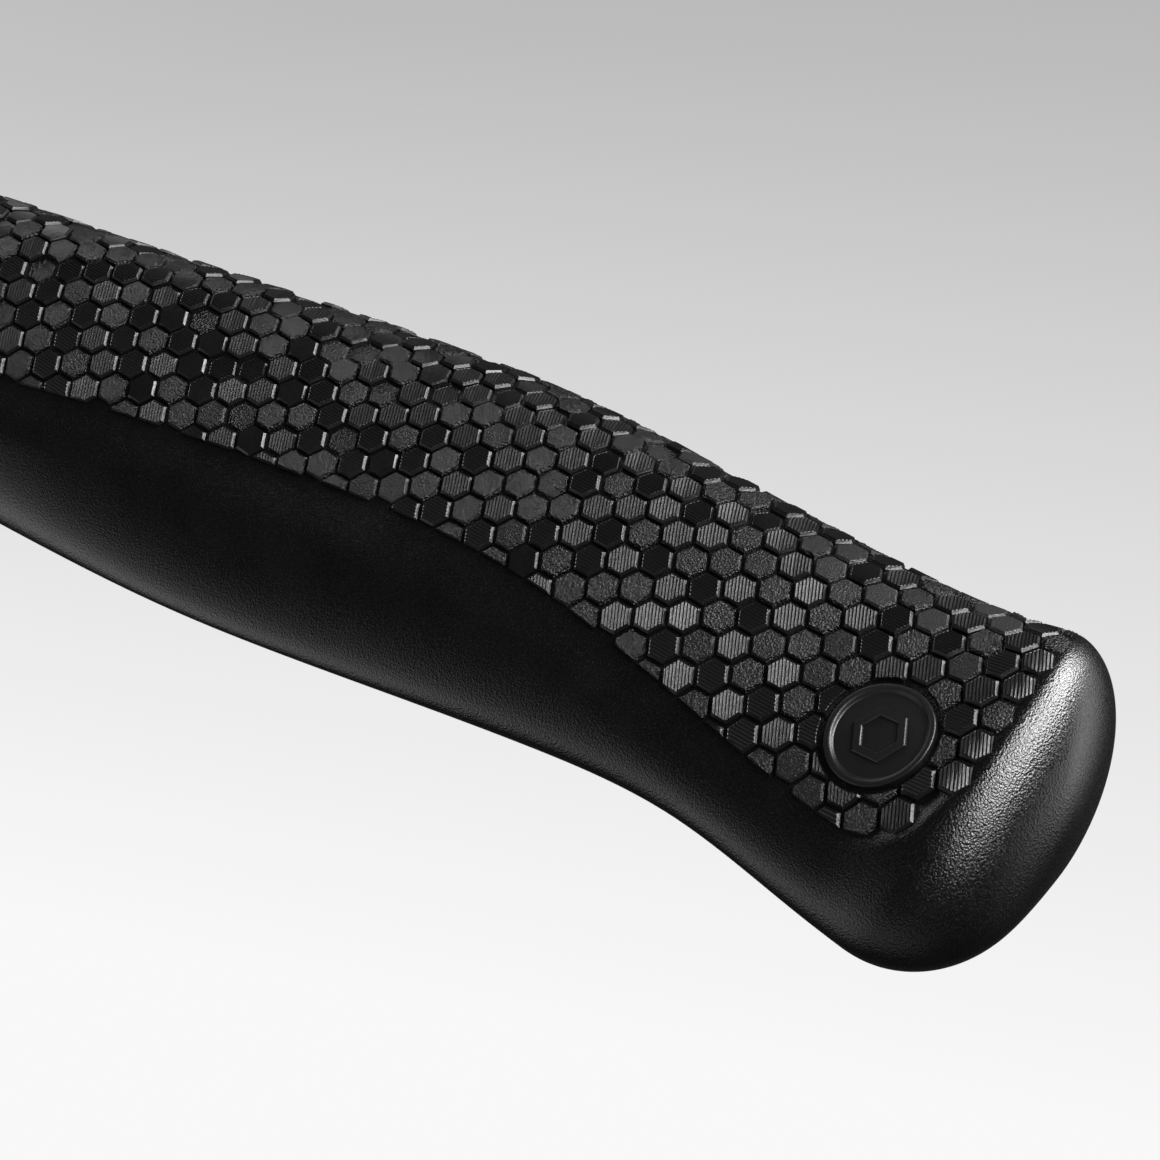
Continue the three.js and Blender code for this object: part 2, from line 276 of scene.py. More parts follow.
def section(u):
    """Spine line, belly line and half thickness at u."""
    top = BUTT_LEVEL + (top_line(u) - BUTT_LEVEL) * closing(u, *SPINE_ROUND)
    belly = BUTT_LEVEL + (belly_line(u) - BUTT_LEVEL) * closing(u, *BELLY_ROUND)
    half = half_line(u) * closing(u, *SIDE_ROUND)
    return top, belly, half


def section_loop(top, belly, half, angle):
    """Level and width, v and w, of points round a section."""
    widest = belly + (top - belly) * WIDEST_LEVEL
    across, up = np.cos(angle), np.sin(angle)
    power = np.where(up >= 0, 2 / SPINE_FULLNESS, 2 / BELLY_FULLNESS)
    v = widest + np.where(up >= 0, top - widest, belly - widest) * np.abs(up) ** power
    w = np.sign(across) * half * np.abs(across) ** power
    return v, w


def side_w(u, v):
    """Height of the left side above the middle plane."""
    u = np.asarray(u, float)
    v = np.asarray(v, float)
    top, belly, half = section(u)
    widest = belly + (top - belly) * WIDEST_LEVEL
    above = v > widest
    share_above = (v - widest) / np.maximum(top - widest, 1e-4)
    share_below = (widest - v) / np.maximum(widest - belly, 1e-4)
    share = np.clip(np.where(above, share_above, share_below), 0, 0.9999)
    power = np.where(above, SPINE_FULLNESS, BELLY_FULLNESS)
    return half * (1 - share**power) ** (1 / power)


def side_point(u, v, h=0.0):
    """Point h above the left side's surface, in the grip's frame."""
    u = np.asarray(u, float)
    v = np.asarray(v, float)
    step = 0.02
    slope_u = (side_w(u + step, v) - side_w(u - step, v)) / (2 * step)
    slope_v = (side_w(u, v + step) - side_w(u, v - step)) / (2 * step)
    normal = np.stack([-slope_u, -slope_v, np.ones_like(slope_u)], -1)
    normal /= np.linalg.norm(normal, axis=-1, keepdims=True)
    return np.stack([u, v, side_w(u, v)], -1) + normal * np.asarray(h, float)[..., None]


def to_row(points, side=1):
    """From the grip's frame in millimetres to the part's frame in metres."""
    points = np.asarray(points, float)
    u, v, w = points[..., 0], points[..., 1], points[..., 2] * side
    c, s = math.cos(GRIP_TILT), math.sin(GRIP_TILT)
    x = GRIP_ORIGIN[0] + u * c + v * s
    y = GRIP_ORIGIN[1] - u * s + v * c
    z = GRIP_ORIGIN[2] + w
    return np.stack([x, y, z], -1) * MM


def smoothstep(low, high, x):
    """Eased share of the way from low to high, 0 before and 1 after; low may be above high."""
    t = np.clip((x - low) / (high - low), 0, 1)
    return t * t * (3 - 2 * t)


def catmull_rom(points, per_span):
    """The closed-form curve through the points, ends repeated."""
    p = np.asarray(points, float)
    p = np.vstack([p[:1], p, p[-1:]])
    out = []
    for i in range(1, len(p) - 2):
        for k in range(per_span):
            t = k / per_span
            out.append(
                0.5
                * (
                    2 * p[i]
                    + (p[i + 1] - p[i - 1]) * t
                    + (2 * p[i - 1] - 5 * p[i] + 4 * p[i + 1] - p[i + 2]) * t * t
                    + (3 * p[i] - p[i - 1] - 3 * p[i + 1] + p[i + 2]) * t**3
                )
            )
    out.append(p[-2])
    return np.array(out)


outline = catmull_rom(PANEL_OUTLINE, OUTLINE_STEPS)


def outline_distance(u, v):
    """Distance to the panel's outline, negative inside, its nearest point and the normal out of it."""
    q = np.stack([np.atleast_1d(u), np.atleast_1d(v)], -1).astype(float)
    a = outline[:-1]
    ab = outline[1:] - a
    length = (ab**2).sum(-1)
    best = np.full(len(q), 1e9)
    foot = np.zeros_like(q)
    out_normal = np.zeros_like(q)
    sign = np.ones(len(q))
    for k in range(len(a)):
        t = np.clip(((q - a[k]) @ ab[k]) / length[k], 0, 1)
        near = a[k] + t[:, None] * ab[k]
        gap = q - near
        dist = np.linalg.norm(gap, axis=-1)
        normal = np.array([ab[k, 1], -ab[k, 0]]) / math.sqrt(length[k])
        closer = dist < best - 1e-9
        best = np.where(closer, dist, best)
        foot[closer] = near[closer]
        out_normal[closer] = normal
        sign[closer] = np.where(gap[closer] @ normal > 0, 1, -1)
    return best * sign, foot, out_normal


# ---------------------------------------------------------------- meshes
def make_object(name, vertices, faces, materials, face_materials=None, smooth=True):
    mesh = bpy.data.meshes.new(name)
    mesh.from_pydata([tuple(v) for v in vertices], [], faces)
    mesh.update()
    for material in materials:
        mesh.materials.append(material)
    if face_materials is not None:
        mesh.polygons.foreach_set("material_index", face_materials)
    mesh.polygons.foreach_set("use_smooth", [smooth] * len(mesh.polygons))
    obj = bpy.data.objects.new(name, mesh)
    bpy.context.scene.collection.objects.link(obj)
    return obj


def tube_faces(rows, around, towards_butt):
    """Faces of a row of rings that is closed at both ends, turned outwards."""
    faces = []
    for r in range(rows - 1):
        for k in range(around):
            a = r * around + k
            b = r * around + (k + 1) % around
            faces.append((a, a + around, b + around, b) if towards_butt else (a, b, b + around, a + around))
    first = tuple(range(around))
    last = tuple(range((rows - 1) * around, rows * around))
    faces.append(first if towards_butt else first[::-1])
    faces.append(last[::-1] if towards_butt else last)
    return faces


# ---------------------------------------------------------------- materials
def new_material(name, color, roughness, metallic=0.0):
    material = bpy.data.materials.new(name)
    material.use_nodes = True
    nodes = material.node_tree.nodes
    shader = nodes["Principled BSDF"]
    shader.inputs["Base Color"].default_value = (*color, 1)
    shader.inputs["Roughness"].default_value = roughness
    shader.inputs["Metallic"].default_value = metallic
    material.diffuse_color = (*color, 1)
    return material, nodes, material.node_tree.links, shader


def object_coordinates(nodes):
    return nodes.new("ShaderNodeTexCoord").outputs["Object"]


def noise(nodes, links, vector, scale, detail=2.0, rough=0.5):
    node = nodes.new("ShaderNodeTexNoise")
    node.inputs["Scale"].default_value = scale
    node.inputs["Detail"].default_value = detail
    node.inputs["Roughness"].default_value = rough
    links.new(vector, node.inputs["Vector"])
    return node.outputs["Fac"]


def remap(nodes, links, value, low, high, from_low=0.3, from_high=0.7):
    node = nodes.new("ShaderNodeMapRange")
    node.inputs["From Min"].default_value = from_low
    node.inputs["From Max"].default_value = from_high
    node.inputs["To Min"].default_value = low
    node.inputs["To Max"].default_value = high
    links.new(value, node.inputs["Value"])
    return node.outputs["Result"]


def blend_colors(nodes, links, factor, first, second):
    node = nodes.new("ShaderNodeMix")
    node.data_type = "RGBA"
    node.inputs["A"].default_value = (*first, 1)
    node.inputs["B"].default_value = (*second, 1)
    links.new(factor, node.inputs["Factor"])
    return node.outputs["Result"]


def bump(nodes, links, height, distance, strength=1.0, below=None):
    node = nodes.new("ShaderNodeBump")
    node.inputs["Strength"].default_value = strength
    node.inputs["Distance"].default_value = distance
    links.new(height, node.inputs["Height"])
    if below is not None:
        links.new(below, node.inputs["Normal"])
    return node.outputs["Normal"]


PLASTIC_CLOUDS = 220  # scales of the slow changes of tone, per metre
STEEL_CLOUDS = 60
GLOSS_PER_GRAIN = 1.1  # scales of finer noises, as multiples of the grains'
FINE_PER_GRAIN = 2.2


def mottle(nodes, links, value, dark, light, shader):
    """Base colour between two tones, driven by a noise."""
    share = remap(nodes, links, value, 0, 1)
    links.new(blend_colors(nodes, links, share, dark, light), shader.inputs["Base Color"])


def grained_plastic(name, dark, light, roughness, grain_size, grain_height, fine_height, specular=0.5):
    """Moulded plastic with a cell-like grain, sizes in millimetres."""
    material, nodes, links, shader = new_material(name, dark, sum(roughness) / 2)
    shader.inputs["Specular IOR Level"].default_value = specular
    where = object_coordinates(nodes)
    grains = 1 / (grain_size * MM)
    mottle(nodes, links, noise(nodes, links, where, PLASTIC_CLOUDS, 3), dark, light, shader)
    gloss = noise(nodes, links, where, GLOSS_PER_GRAIN * grains, 2)
    links.new(remap(nodes, links, gloss, *roughness), shader.inputs["Roughness"])
    cells = nodes.new("ShaderNodeTexVoronoi")
    cells.feature = "F1"
    cells.inputs["Scale"].default_value = grains
    links.new(where, cells.inputs["Vector"])
    coarse = bump(nodes, links, cells.outputs["Distance"], grain_height * MM)
    fine = noise(nodes, links, where, FINE_PER_GRAIN * grains, 3, 0.6)
    links.new(bump(nodes, links, fine, fine_height * MM, 1.0, coarse), shader.inputs["Normal"])
    return material


# Nearly black tones of the plastics.
BLACK = (0.0010, 0.0010, 0.0011)
BLACK_WORN = (0.0020, 0.0020, 0.0021)
RIB_BLACK = (0.0014, 0.0014, 0.0015)
RIB_WORN = (0.0024, 0.0024, 0.0025)
MATTE = (0.007, 0.007, 0.0072)
MATTE_WORN = (0.013, 0.013, 0.0132)
COARSE = (0.002, 0.002, 0.0021)
COARSE_WORN = (0.004, 0.004, 0.0041)
FINE = (0.003, 0.003, 0.0031)
FINE_WORN = (0.006, 0.006, 0.0062)
DISC = (0.0025, 0.0025, 0.0026)
DISC_WORN = (0.004, 0.004, 0.0041)

body_plastic = grained_plastic("grip_body", BLACK, BLACK_WORN, (0.12, 0.34), 0.15, 0.024, 0.013)
pad_ribbed = grained_plastic("pad_ribbed", RIB_BLACK, RIB_WORN, (0.32, 0.40), 0.12, 0.012, 0.010, 0.33)
pad_matte = grained_plastic("pad_matte", MATTE, MATTE_WORN, (0.36, 0.46), 0.15, 0.042, 0.026, 0.35)
pad_sheen = grained_plastic("pad_sheen", RIB_BLACK, RIB_WORN, (0.28, 0.36), 0.35, 0.012, 0.008, 0.35)
pad_coarse = grained_plastic("pad_coarse", COARSE, COARSE_WORN, (0.19, 0.27), 0.17, 0.125, 0.055, 0.33)
pad_fine = grained_plastic("pad_fine", FINE, FINE_WORN, (0.28, 0.36), 0.15, 0.065, 0.035, 0.30)
badge_plastic = grained_plastic("badge", DISC, DISC_WORN, (0.34, 0.42), 0.09, 0.006, 0.006, 0.4)
PAD_MATERIALS = [pad_ribbed, pad_matte, pad_sheen, pad_coarse, pad_fine]


def brushed_steel(name, dark, light, roughness, line_scale, line_height, stretch=0.04):
    """Steel with fine lines that run from spine to edge."""
    material, nodes, links, shader = new_material(name, dark, sum(roughness) / 2, 1.0)
    where = object_coordinates(nodes)
    mottle(nodes, links, noise(nodes, links, where, STEEL_CLOUDS, 4), dark, light, shader)
    brush = nodes.new("ShaderNodeMapping")
    brush.inputs["Scale"].default_value = (1.0, stretch, 1.0)
    links.new(where, brush.inputs["Vector"])
    lines = noise(nodes, links, brush.outputs["Vector"], line_scale, 3)
    links.new(remap(nodes, links, lines, *roughness), shader.inputs["Roughness"])
    links.new(bump(nodes, links, lines, line_height * MM), shader.inputs["Normal"])
    return material


COATING = (0.125, 0.128, 0.134)
COATING_WORN = (0.150, 0.153, 0.160)
BARE = (0.50, 0.50, 0.51)
BARE_WORN = (0.60, 0.60, 0.61)

coated_steel = brushed_steel("coated_steel", COATING, COATING_WORN, (0.28, 0.44), 7000, 0.004)
satin_steel = brushed_steel("satin_steel", COATING, COATING_WORN, (0.34, 0.44), 5000, 0.002, 0.3)
ground_steel = brushed_steel("ground_edge", BARE, BARE_WORN, (0.22, 0.36), 5000, 0.003)


# ---------------------------------------------------------------- the moulded body
def body_depth(u, v, w, widest):
    """How far the body's surface lies above the level of the pads' tops (negative: below)."""
    distance, _, _ = outline_distance(u, v)
    slope = BELLY_SLOPE + BELLY_SLOPE_GAIN * smoothstep(*BELLY_SLOPE_U, u)
    belly_side = smoothstep(0, 1, distance / slope)
    butt_side = smoothstep(*BUTT_SLOPE, distance)
    rise = belly_side + (butt_side - belly_side) * smoothstep(*BUTT_SLOPE_U, u)
    strip = np.where(v > widest, smoothstep(0, STRIP_SLOPE, PANEL_SPINE_EDGE - np.abs(w)), 0)
    shallow = np.where(v > widest, SHALLOW_SHARE * smoothstep(*SHALLOW_W, np.abs(w)), 0)
    return -FLOOR_DEPTH * (1 - np.maximum(np.maximum(rise, strip), shallow))


def ring_normals(grid, middle):
    """Outward normals of a grid of rings, which runs to a point at its last ring."""
    along = np.gradient(grid, axis=0)
    round_ring = np.roll(grid, -1, 1) - np.roll(grid, 1, 1)
    normal = np.cross(along, round_ring)
    length = np.linalg.norm(normal, axis=-1, keepdims=True)
    normal /= np.maximum(length, 1e-12)
    normal[-1] = (1, 0, 0)
    if ((grid - middle) * normal).sum() < 0:
        normal[:-1] *= -1
    return normal


def make_body():
    dome = np.sin(np.linspace(0, math.pi / 2, DOME_ROWS))
    us = np.concatenate([
        np.linspace(GRIP_FRONT, DOME_START, BODY_ROWS, endpoint=False),
        DOME_START + (BUTT_U - DOME_START) * dome,
    ])
    us[-1] = BUTT_U - 0.001
    angle = np.linspace(0, 2 * math.pi, BODY_AROUND, endpoint=False)
    top, belly, half = (line[:, None] for line in section(us))
    v, w = section_loop(top, belly, half, angle[None])
    u = np.repeat(us[:, None], BODY_AROUND, 1)
    widest = np.repeat(belly + (top - belly) * WIDEST_LEVEL, BODY_AROUND, 1)
    grid = np.stack([u, v, w], -1)
    normal = ring_normals(grid, np.stack([u, widest, np.zeros_like(u)], -1))
    depth = body_depth(u.ravel(), v.ravel(), w.ravel(), widest.ravel()).reshape(u.shape)
    depth[-1] = 0
    grid = grid + normal * depth[..., None]
    faces = tube_faces(len(us), BODY_AROUND, towards_butt=True)
    return make_object("grip_body", to_row(grid).reshape(-1, 3), faces, [body_plastic])


# ---------------------------------------------------------------- honeycomb pads
def hexagon(centre, inradius):
    radius = inradius / math.cos(math.pi / 6)
    angles = [k * math.pi / 3 for k in range(6)]
    return [(centre[0] + radius * math.cos(a), centre[1] + radius * math.sin(a)) for a in angles]


def cut_line(polygon, foot, normal):
    """Keeps the side of the line that its normal points away from."""
    kept = []
    side = [(p[0] - foot[0]) * normal[0] + (p[1] - foot[1]) * normal[1] for p in polygon]
    for k, p in enumerate(polygon):
        q = polygon[(k + 1) % len(polygon)]
        a, b = side[k], side[(k + 1) % len(polygon)]
        if a <= 0:
            kept.append(p)
        if (a < 0 < b) or (b < 0 < a):
            t = a / (a - b)
            kept.append((p[0] + t * (q[0] - p[0]), p[1] + t * (q[1] - p[1])))
    return kept


def cut_disc(polygon, centre, radius):
    """Takes a disc away from a polygon that it bites into from one side."""
    pieces = []
    crossings = 0
    for k, p in enumerate(polygon):
        q = polygon[(k + 1) % len(polygon)]
        if math.dist(p, centre) >= radius:
            pieces.append((p, False))
        px, py = p[0] - centre[0], p[1] - centre[1]
        dx, dy = q[0] - p[0], q[1] - p[1]
        a = dx * dx + dy * dy
        b = px * dx + py * dy
        c = px * px + py * py - radius * radius
        root = b * b - a * c
        if root <= 0:
            continue
        for t in ((-b - math.sqrt(root)) / a, (-b + math.sqrt(root)) / a):
            if 0 < t < 1:
                entering = t * a + b < 0
                pieces.append(((p[0] + t * dx, p[1] + t * dy), entering))
                crossings += 1
    if crossings == 0:
        return polygon if math.dist(polygon[0], centre) >= radius else []
    result = []
    for k, (p, entering) in enumerate(pieces):
        result.append(p)
        if entering:
            q = pieces[(k + 1) % len(pieces)][0]
            start = math.atan2(p[1] - centre[1], p[0] - centre[0])
            turn = math.atan2(q[1] - centre[1], q[0] - centre[0]) - start
            turn = (turn + math.pi) % (2 * math.pi) - math.pi
            steps = max(2, int(abs(turn) / ARC_STEP))
            for s in range(1, steps):
                angle = start + turn * s / steps
                result.append((centre[0] + radius * math.cos(angle), centre[1] + radius * math.sin(angle)))
    return result


def area(polygon):
    return 0.5 * sum(
        p[0] * polygon[(k + 1) % len(polygon)][1] - polygon[(k + 1) % len(polygon)][0] * p[1]
        for k, p in enumerate(polygon)
    )


def reach(polygon, centre, angle):
    """Distance from the centre to the polygon's edge in one direction."""
    dx, dy = math.cos(angle), math.sin(angle)
    best = None
    for k, p in enumerate(polygon):
        q = polygon[(k + 1) % len(polygon)]
        ex, ey = q[0] - p[0], q[1] - p[1]
        cross = dx * ey - dy * ex
        if abs(cross) < 1e-12:
            continue
        px, py = p[0] - centre[0], p[1] - centre[1]
        t = (px * ey - py * ex) / cross
        s = (px * dy - py * dx) / cross
        if t > 1e-6 and -1e-6 <= s <= 1 + 1e-6 and (best is None or t < best):
            best = t
    return best or 0.0


def chord(polygon, direction, offset):
    """The longest stretch of a polygon on the line across direction at the offset."""
    cx, cy = direction
    hits = []
    for k, p in enumerate(polygon):
        q = polygon[(k + 1) % len(polygon)]
        a = p[0] * cx + p[1] * cy - offset
        b = q[0] * cx + q[1] * cy - offset
        if (a <= 0 < b) or (b <= 0 < a):
            t = a / (a - b)
            hits.append((p[0] + t * (q[0] - p[0])) * -cy + (p[1] + t * (q[1] - p[1])) * cx)
    hits.sort()
    spans = [(hits[k], hits[k + 1]) for k in range(0, len(hits) - 1, 2)]
    return max(spans, key=lambda span: span[1] - span[0]) if spans else None


class PadBuilder:
    """Collects the pads of one panel as points (u, v, height) and faces."""

    def __init__(self):
        self.points = []
        self.faces = []
        self.materials = []
        self.smooth = []

    def add_face(self, face, material, smooth):
        self.faces.append(face)
        self.materials.append(material)
        self.smooth.append(smooth)

    def add_points(self, points):
        start = len(self.points)
        self.points.extend(points)
        return start

    def add_flank(self, foot, top, centre, level, material):
        """The sides of a pad, upright from its foot and bevelled up to its top."""
        corners = foot + top
        angles = sorted({round(math.atan2(p[1] - centre[1], p[0] - centre[0]), 4) for p in corners})
        steps = (
            (foot, lambda q: -FLOOR_DEPTH - PAD_FOOT),
            (foot, lambda q: level(q) - BEVEL_DROP),
            (top, level),
        )
        rings = []
        for polygon, height in steps:
            ring = []
            for angle in angles:
                r = reach(polygon, centre, angle)
                q = (centre[0] + r * math.cos(angle), centre[1] + r * math.sin(angle))
                ring.append((*q, height(q)))
            rings.append(self.add_points(ring))
        count = len(angles)
        for lower, upper in zip(rings, rings[1:]):
            for k in range(count):
                n = (k + 1) % count
                self.add_face((lower + k, lower + n, upper + n, upper + k), material, False)

    def add_flat_top(self, top, centre, level, material):
        rings = []
        for share in TOP_SHARES:
            ring = [
                (centre[0] + share * (p[0] - centre[0]), centre[1] + share * (p[1] - centre[1])) for p in top
            ]
            rings.append(self.add_points([(*q, level(q)) for q in ring]))
        middle = self.add_points([(*centre, level(centre))])
        count = len(top)
        for outer, inner in zip(rings, rings[1:]):
            for k in range(count):
                n = (k + 1) % count
                self.add_face((outer + k, outer + n, inner + n, inner + k), material, True)
        for k in range(count):
            self.add_face((rings[-1] + k, rings[-1] + (k + 1) % count, middle), material, True)

    def add_ribbed_top(self, top, centre, level, angle, material):
        """A top with ribs: lines of four points across it, joined by faces."""
        direction = (math.cos(angle), math.sin(angle))
        across = [p[0] * direction[0] + p[1] * direction[1] for p in top]
        middle = centre[0] * direction[0] + centre[1] * direction[1]
        low, high = min(across) + 1e-4, max(across) - 1e-4
        wave = []
        for k in range(-RIB_REACH, RIB_REACH + 1):
            wave += [(middle + (k + phase) * RIB_PITCH, RIB_HEIGHT * lift) for phase, lift in RIB_WAVE]
        places = [p for p in wave if low < p[0] < high]
        stops, lifts = [p[0] for p in wave], [p[1] for p in wave]
        corner_offsets = {min(max(round(a, 5), low), high) for a in across}
        places += [(a, float(np.interp(a, stops, lifts))) for a in corner_offsets]
        places.sort()
        lines = []
        for offset, lift in places:
            span = chord(top, direction, offset)
            if not span:
                continue
            start, end = span
            inset = min(RIB_END, 0.45 * (end - start))
            line = []
            for along, rise in ((start, 0), (start + inset, lift), (end - inset, lift), (end, 0)):
                q = (
                    offset * direction[0] - along * direction[1],
                    offset * direction[1] + along * direction[0],
                )
                line.append((*q, level(q) + rise))
            lines.append(self.add_points(line))
        for a, b in zip(lines, lines[1:]):
            for k in range(3):
                self.add_face((a + k, b + k, b + k + 1, a + k + 1), material, False)


def pad_kind(chance, row, place):
    """A pad's material number and, if it is ribbed, the direction across its ribs."""
    index = (place - PATTERN_START) // 2
    line = PAD_PATTERN.get(row, "")
    letter = line[index] if 0 <= index < len(line) else "."
    if letter == ".":
        mix = FRONT_MIX if place < BUTT_MIX_START else BUTT_MIX
        letter = mix[int(chance * len(mix))]
    return PAD_KINDS[letter]


def pad_centres():
    """Lattice steps and centre of each hexagon near the panel."""
    cos30 = math.cos(math.pi / 6)
    centres = []
    for i in LATTICE_STEPS:
        for j in LATTICE_STEPS:
            u = LATTICE_U + (i + j) * cos30 * PITCH
            v = LATTICE_V + (i - j) * 0.5 * PITCH
            if PAD_AREA_U[0] < u < PAD_AREA_U[1] and PAD_AREA_V[0] < v < PAD_AREA_V[1]:
                centres.append((i, j, u, v))
    return centres


def strip_edge(u):
    """Level of the pads' upper edge at u, or None where the grip is too thin for pads."""
    top, belly, half = (float(a) for a in section(u))
    widest = belly + (top - belly) * WIDEST_LEVEL
    if half <= PANEL_SPINE_EDGE + THINNEST:
        return None
    return widest + (top - widest) * math.sqrt(1 - ((PANEL_SPINE_EDGE + STRIP_GAP) / half) ** 2)


def pad_polygons(u, v, edge_point, out, edge):
    """Foot and top of one pad, cut by the panel's outline, the spine strip and the badge's moat."""
    badge = (BADGE_U, BADGE_V)
    polygons = []
    for inradius, inset in ((PAD_BASE * PITCH, 0.0), (PAD_TOP * PITCH, CUT_INSET)):
        cut_point = (edge_point[0] - out[0] * inset, edge_point[1] - out[1] * inset)
        polygon = cut_line(hexagon((u, v), inradius), cut_point, out)
        if polygon:
            polygon = cut_line(polygon, (u, edge - inset), (0, 1))
        if polygon and math.dist((u, v), badge) < MOAT_RADIUS + MOAT_REACH:
            polygon = cut_disc(polygon, badge, MOAT_RADIUS + MOAT_INSET * inset)
        polygons.append(polygon)
    return polygons


def pad_level(rng, u, v, gap, centre):
    """A pad's own height and tilt, as a function of a place on it."""
    calm = 1 - CALM_SHARE * float(smoothstep(*CALM_W, side_w(u, v)))
    height = rng.uniform(*PAD_LIFT) * calm
    drop = rng.random()
    gain = SINK_CHANCE_GAIN * float(smoothstep(*SINK_GAIN_V, v)) * float(smoothstep(*SINK_GAIN_U, u))
    if drop < SINK_CHANCE + gain and gap < SINK_INSIDE and u < SINK_BEFORE_U:
        height -= rng.uniform(*SINK_DEPTH)
    tilt_u, tilt_v = rng.gauss(0, PAD_TILT) * calm, rng.gauss(0, PAD_TILT) * calm

    def level(q):
        return height + tilt_u * (q[0] - centre[0]) + tilt_v * (q[1] - centre[1])

    return level


def make_pads():
    builder = PadBuilder()
    centres = pad_centres()
    distance, foot, normal = outline_distance([c[2] for c in centres], [c[3] for c in centres])
    for (i, j, u, v), gap, near, out in zip(centres, distance, foot, normal):
        margin = BUTT_OVERHANG * float(smoothstep(*BUTT_OVERHANG_U, u))
        bare = any(u > corner_u and v < corner_v for corner_u, corner_v in BARE_CORNERS)
        if gap > OVERHANG + margin or u > LAST_PAD_U or bare:
            continue
        edge = strip_edge(u)
        if edge is None or v - SPINE_OVERHANG > edge:
            continue
        edge_point = (near[0] + out[0] * margin, near[1] + out[1] * margin)
        low, high = pad_polygons(u, v, edge_point, out, edge)
        if len(high) < 3 or area(high) < SMALLEST_TOP or len(low) < 3:
            continue
        centre = (sum(p[0] for p in high) / len(high), sum(p[1] for p in high) / len(high))
        factor_i, factor_j, shift = LATTICE_SEEDS
        rng = random.Random(factor_i * (i + shift) + factor_j * (j + shift))
        level = pad_level(rng, u, v, gap, centre)
        material, ribs = pad_kind(rng.random(), i - j, i + j)
        builder.add_flank(low, high, centre, level, material)
        if ribs is None:
            builder.add_flat_top(high, centre, level, material)
        else:
            builder.add_ribbed_top(high, centre, level, ribs, material)
    return builder


def place_pads(builder, name, side):
    points = np.array(builder.points)
    placed = to_row(side_point(points[:, 0], points[:, 1], points[:, 2]), side)
    faces = builder.faces if side > 0 else [tuple(reversed(face)) for face in builder.faces]
    obj = make_object(name, placed, faces, PAD_MATERIALS, builder.materials)
    obj.data.polygons.foreach_set("use_smooth", builder.smooth)
    return obj


# ---------------------------------------------------------------- badge
def badge_place(radius, angle):
    return BADGE_U + radius * math.cos(angle), BADGE_V + radius * math.sin(angle)


class BadgeBuilder:
    """Collects the badge's rings as points (u, v, height) and the faces between them."""

    def __init__(self):
        self.points = []
        self.faces = []

    def ring(self, radius, height):
        start = len(self.points)
        for k in range(BADGE_AROUND):
            angle = 2 * math.pi * k / BADGE_AROUND
            self.points.append((*badge_place(radius, angle), height))
        return start

    def mark_ring(self, radius, height):
        start = len(self.points)
        corners = []
        for k in range(MARK_SIDES):
            corners.append(badge_place(radius, 2 * math.pi * k / MARK_SIDES))
        for p, q in zip(corners, corners[1:] + corners[:1]):
            for s in range(MARK_STEPS):
                share = s / MARK_STEPS
                self.points.append((p[0] + (q[0] - p[0]) * share, p[1] + (q[1] - p[1]) * share, height))
        return start

    def bridge(self, rings, count):
        for a, b in zip(rings, rings[1:]):
            for k in range(count):
                n = (k + 1) % count
                self.faces.append((a + k, a + n, b + n, b + k))


def make_badge(name, side):
    builder = BadgeBuilder()
    builder.bridge([builder.ring(*place) for place in BADGE_PROFILE], BADGE_AROUND)
    discs = [builder.ring(radius, DISC_LEVEL) for radius in DISC_RADII]
    builder.bridge(discs, BADGE_AROUND)
    middle = len(builder.points)
    builder.points.append((BADGE_U, BADGE_V, DISC_LEVEL))
    for k in range(BADGE_AROUND):
        builder.faces.append((discs[-1] + k, discs[-1] + (k + 1) % BADGE_AROUND, middle))
    round_faces = len(builder.faces)
    builder.bridge([builder.mark_ring(*place) for place in MARK_PROFILE], MARK_SIDES * MARK_STEPS)
    smooth = [k < round_faces for k in range(len(builder.faces))]
    coords = np.array(builder.points)
    placed = to_row(side_point(coords[:, 0], coords[:, 1], coords[:, 2]), side)
    faces = builder.faces if side > 0 else [tuple(reversed(face)) for face in builder.faces]
    obj = make_object(name, placed, faces, [badge_plastic])
    obj.data.polygons.foreach_set("use_smooth", smooth)
    return obj


# ---------------------------------------------------------------- blade and bolster
def blade_line(line, start_x, along):
    """Points x, y of the blade's spine or edge, for shares of the way to the tip."""
    return np.stack([start_x + (TIP_X - start_x) * along, Spline(*zip(*line))(along)], -1)[:, None]


def blade_faces(size):
    """Faces between the blade's two sides of BLADE_ROWS rows with size points each, and their materials."""
    other = BLADE_ROWS * size
    faces = []
    materials = []
    for r in range(BLADE_ROWS - 1):
        for k in range(size - 1):
            a = r * size + k
            faces.append((a, a + size, a + size + 1, a + 1))
            faces.append((a + other, a + other + 1, a + other + size + 1, a + other + size))
            materials += [int(k == size - 2)] * 2
        a, b = r * size, r * size + size - 1
        faces.append((a, a + other, a + other + size, a + size))
        faces.append((b, b + size, b + other + size, b + other))
        materials += [0, 1]
    for k in range(size - 1):
        a, b = k, (BLADE_ROWS - 1) * size + k
        faces.append((a, a + 1, a + other + 1, a + other))
        faces.append((b, b + other, b + other + 1, b + 1))
        materials += [int(k == size - 2)] * 2
    return faces, materials


